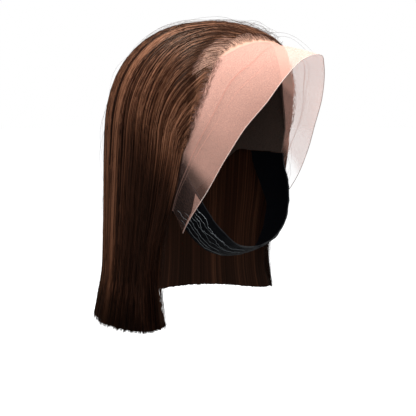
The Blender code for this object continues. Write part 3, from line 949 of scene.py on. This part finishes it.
def cap_shell(name, columns, rings, material):
    """The cap's wall: two domes of rings round a pole, joined along their edges."""
    k = np.arange(columns)
    after = (k + 1) % columns
    ring = 1 + np.arange(rings - 1)[:, None] * columns
    fan = np.stack((0 * k, 1 + k, 1 + after), -1)
    quads = np.stack((ring + k, ring + columns + k, ring + columns + after, ring + after), -1)
    quads = quads.reshape(-1, 4)
    outer, inner = cap_dome(CAP_WALL, columns, rings), cap_dome(0.0, columns, rings)
    second = len(outer)
    edge = 1 + (rings - 1) * columns
    rim = np.stack((edge + k, edge + k + second, edge + after + second, edge + after), -1)
    quads = np.concatenate((quads, quads[:, ::-1] + second, rim))
    fans = np.concatenate((fan, fan[:, ::-1] + second))
    return make_object(name, np.concatenate((outer, inner)), quads, fans, material, sharp=CRISP_ANGLE)


cap = cap_shell("cap_shell", 144, 34, cap_material())
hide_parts("cap")


# Chin band

BAND_COLUMNS, BAND_ROWS = 240, 36
GLINT_RIPPLES = ((0.060, 22, 72), (0.036, 56, 73), (0.014, 130, 74))


def strap_point(side, across, lift):
    """A point of the band: its front and back edges blended across, on the form at a lift."""
    share = 1 - np.abs(side)
    edges = []
    for edge in ("front", "back"):
        azimuth = np.sign(side) * read_column(STRAP, "share", edge + "_azimuth", share)
        edges.append(direction(azimuth, read_column(STRAP, "share", edge + "_polar", share)))
    way = unit(edges[0] * (1 - across)[..., None] + edges[1] * across[..., None])
    return along_form(way, lift)


def strap_puckers(side, across):
    """Height of the puckers: ridges across the band that wander sideways along it."""
    x = (side + 1) / 2
    shift = 0.09 * ripple(x, across, 26, 1, 51) + 0.05 * ripple(x, across, 60, 3, 52)
    ridge = 1 - np.abs(np.sin(np.pi * (across + shift) * 5.0))
    return 0.0006 * ridge ** 2 + 0.0002 * ripple(x, across, 90, 6, 53)


def strap_material():
    """Black satin elastic with fine ribs along it."""
    material, nodes, links, shader = new_material("black_satin_elastic", 0.42, (0.0028, 0.0034, 0.0050))
    across = value_node(nodes, "across")
    ribs = math_node(nodes, links, "SINE", math_node(nodes, links, "MULTIPLY", across, 190.0), 0.0)
    bump = nodes.new("ShaderNodeBump")
    bump.inputs["Strength"].default_value = 0.35
    bump.inputs["Distance"].default_value = 0.00025
    links.new(ribs, bump.inputs["Height"])
    links.new(bump.outputs["Normal"], shader.inputs["Normal"])
    shader.inputs["Specular IOR Level"].default_value = 0.07
    return material


strap_side, strap_across = np.meshgrid(
    np.linspace(-1, 1, BAND_COLUMNS + 1), np.linspace(0, 1, BAND_ROWS + 1), indexing="ij")
pucker = strap_puckers(strap_side, strap_across)
strap = walled_sheet(
    "chin_strap_band",
    strap_point(strap_side, strap_across, STRAP_WALL + pucker * 0.8),
    strap_point(strap_side, strap_across, 0.0001),
    strap_material(),
    {"across": strap_across},
)
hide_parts("chin_strap")


def painted_strap_glints():
    """Painted glints: thin pale grey tubes that wander along the band, standing for the light caught on the
    crests of its satin puckers, each at its share of the width plus three noises.
    """
    rng = np.random.default_rng(71)
    count, steps = 14, 160
    t = np.linspace(0, 1, steps)[None]
    order = np.arange(count)
    start = rng.uniform(0.05, 0.26, count)
    end = rng.uniform(0.48, 0.62, count)
    half = np.where(order % 2 == 0, -1.0, 1.0)
    side = half[:, None] * (start[:, None] + (end - start)[:, None] * t)
    home = (0.20 + 0.68 * (order // 2) / 6 + rng.uniform(-0.04, 0.04, count))[:, None]
    x = (side + 1) / 2
    row = (order[:, None] + 0.5) / count + 0 * x
    wander = sum(width * ripple(x, row, cells, 24, seed) for width, cells, seed in GLINT_RIPPLES)
    across = np.clip(home + wander, 0.05, 0.95)
    paths = strap_point(side, across, STRAP_WALL + 0.8 * strap_puckers(side, across) + 0.0001)
    radii = 0.00026 * smooth_step(np.minimum(t, 1 - t) / 0.1 + 0.2) * rng.uniform(0.6, 1.1, count)[:, None]
    # Painted highlight: pale grey for the light that the satin's pucker crests catch.
    material, _, _, shader = new_material("painted_glint_grey", 0.5, (0.34, 0.37, 0.39))
    shader.inputs["Specular IOR Level"].default_value = 0.3
    return strand_object("painted_strap_glints", paths, radii, material, {})


# Painted highlights on the black satin band.
strap_glints = painted_strap_glints()


# Floor, light and camera

FLOOR_RADIUS = 14.0
FLOOR_LEVEL = -0.62
FLOOR_SIDES = 96
CAMERA_AZIMUTH = -52.5
CAMERA_ELEVATION = 9.0
CAMERA_DISTANCE = 0.645
CAMERA_LENS = 57.98
CAMERA_AIM = (0.0, 0.0, -0.166)
CAMERA_SIDESTEP = -0.0047
LIGHTS = (
    ("key_light", (-0.55, -1.05, 1.25), (0, 0, -0.05), 0.8, 19),
    ("crown_light", (-0.55, 0.15, 1.30), (0, 0, -0.05), 0.7, 38),
    ("fill_light", (1.1, -1.0, 0.35), (0, 0, -0.15), 0.8, 9),
)


def pale_floor():
    """A flat pale round floor, well below the hem: a fan of triangles round its middle."""
    turns = np.linspace(0, 2 * np.pi, FLOOR_SIDES, endpoint=False)
    rim = FLOOR_RADIUS * np.stack((np.cos(turns), np.sin(turns), 0 * turns), -1)
    points = np.concatenate((np.zeros((1, 3)), rim)) + (0.0, 0.0, FLOOR_LEVEL)
    k = np.arange(FLOOR_SIDES)
    fan = np.stack((0 * k, 1 + k, 1 + (k + 1) % FLOOR_SIDES), -1)
    material, _, _, shader = new_material("pale_floor", 0.95, (0.92, 0.92, 0.92))
    shader.inputs["Emission Color"].default_value = (1, 1, 1, 1)
    shader.inputs["Emission Strength"].default_value = 0.77
    floor = make_object("floor", points, [], fan, material, rides=None)
    floor.visible_diffuse = False
    floor.visible_glossy = False


def area_light(name, place, aim, size, power):
    """A square soft light that faces its aim."""
    light = bpy.data.lights.new(name, "AREA")
    light.shape = "SQUARE"
    light.size = size
    light.energy = power
    item = bpy.data.objects.new(name, light)
    item.location = place
    item.rotation_mode = "QUATERNION"
    item.rotation_quaternion = (Vector(place) - Vector(aim)).to_track_quat("Z", "Y")
    bpy.context.scene.collection.objects.link(item)


def photo_camera():
    """The camera at the photo's angle, aimed at the wig's middle from a little to the left."""
    back = direction(CAMERA_AZIMUTH, 90 - CAMERA_ELEVATION)
    azimuth = np.radians(CAMERA_AZIMUTH)
    right = np.array((np.cos(azimuth), np.sin(azimuth), 0.0))
    data = bpy.data.cameras.new("camera")
    data.lens = CAMERA_LENS
    data.sensor_width = 36.0
    data.clip_start = 0.02
    item = bpy.data.objects.new("camera", data)
    item.location = np.array(CAMERA_AIM) + CAMERA_SIDESTEP * right + CAMERA_DISTANCE * back
    item.rotation_mode = "QUATERNION"
    item.rotation_quaternion = Vector(-back).to_track_quat("-Z", "Y")
    bpy.context.scene.collection.objects.link(item)
    bpy.context.scene.camera = item


def studio_world():
    """Soft even light from all round, with a white backdrop where the lens sees past the floor."""
    world = bpy.data.worlds.new("studio")
    world.use_nodes = True
    nodes = world.node_tree.nodes
    links = world.node_tree.links
    soft = nodes["Background"]
    soft.inputs["Color"].default_value = (0.97, 0.98, 1.0, 1)
    soft.inputs["Strength"].default_value = 0.27
    backdrop = nodes.new("ShaderNodeBackground")
    backdrop.inputs["Color"].default_value = (1, 1, 1, 1)
    backdrop.inputs["Strength"].default_value = 1.0
    kind = nodes.new("ShaderNodeLightPath")
    pick = nodes.new("ShaderNodeMixShader")
    links.new(kind.outputs["Is Camera Ray"], pick.inputs["Fac"])
    links.new(soft.outputs["Background"], pick.inputs[1])
    links.new(backdrop.outputs["Background"], pick.inputs[2])
    links.new(pick.outputs["Shader"], nodes["World Output"].inputs["Surface"])
    return world


pale_floor()
photo_camera()
for light in LIGHTS:
    area_light(*light)
bpy.context.scene.world = studio_world()
bpy.context.scene.view_settings.view_transform = "Standard"
